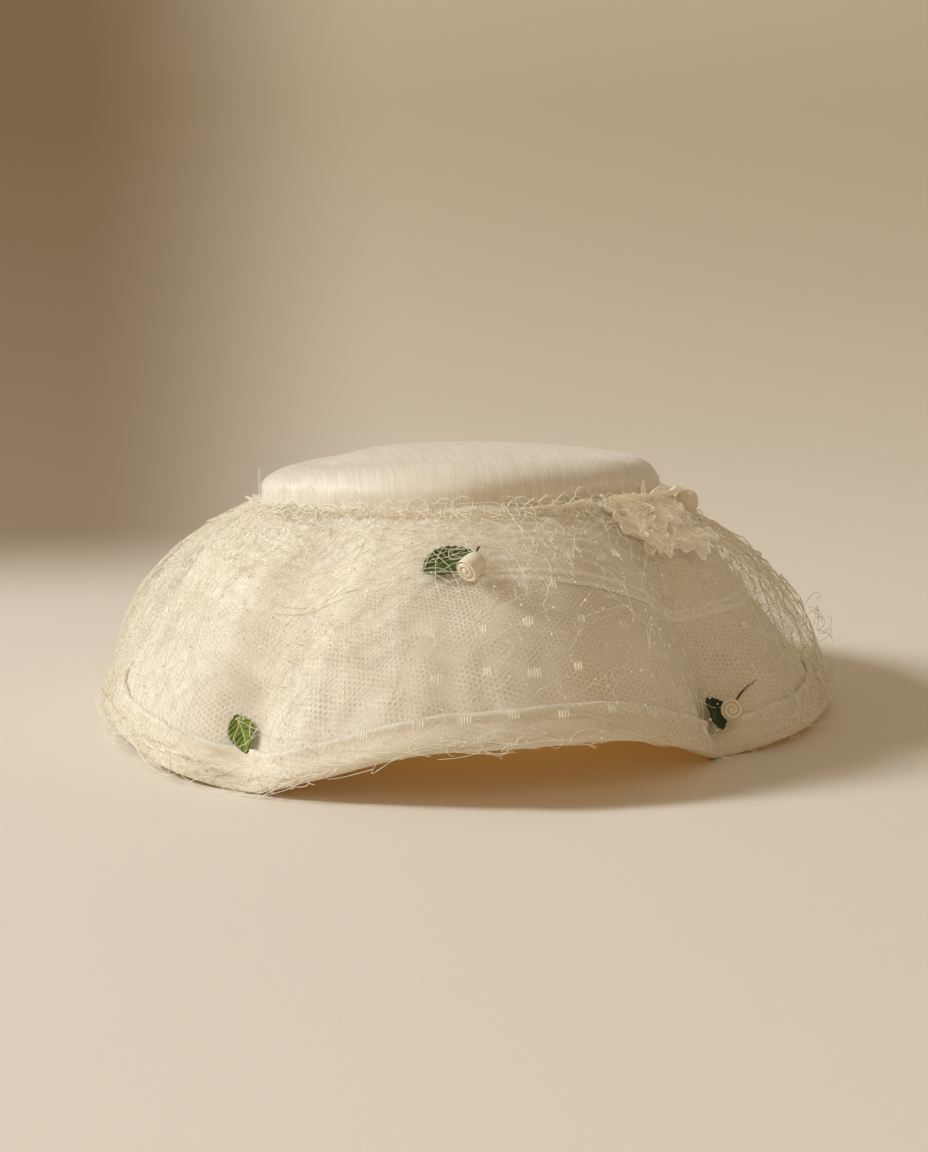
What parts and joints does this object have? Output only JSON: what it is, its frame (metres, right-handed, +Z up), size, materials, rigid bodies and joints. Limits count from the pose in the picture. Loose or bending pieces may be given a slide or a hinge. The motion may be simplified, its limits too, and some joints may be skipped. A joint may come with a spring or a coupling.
{
  "type": "picture hat",
  "caption": "Picture hat with a shallow cloth crown, a drooping brim pinched at its front corners, a tulle scarf and frill, a coarse net veil, and small leaves and buds.",
  "frame": {"origin": "on the surface that the hat stands on, under the middle of its outline", "axes": "+Z up, -Y towards the front of the hat, +X to the right as seen from the front"},
  "size_m": [0.3368, 0.3354, 0.1259],
  "materials": {
    "crown_cloth": "ribbed cream cloth with a soft sheen",
    "brim_cloth": "stiffened cloth under tulle",
    "tulle": "fine cream tulle in layers",
    "net": "coarse knotted cream thread",
    "leaf": "dyed green cloth",
    "bud": "rolled cream ribbon",
    "stem": "brown cloth-wrapped wire"
  },
  "bodies": {
    "root": {"crown": "crown_cloth", "brim": "brim_cloth", "brim_hem": "tulle", "tulle_swathe": "tulle", "tulle_frill": "tulle", "veil": "net", "leaf_left": "leaf", "leaf_front": "leaf", "leaf_right": "leaf", "bud_front": "bud", "bud_right": "bud", "bud_side": "bud", "stem_front": "stem", "stem_right": "stem", "stem_side": "stem"}
  },
  "joints": []
}
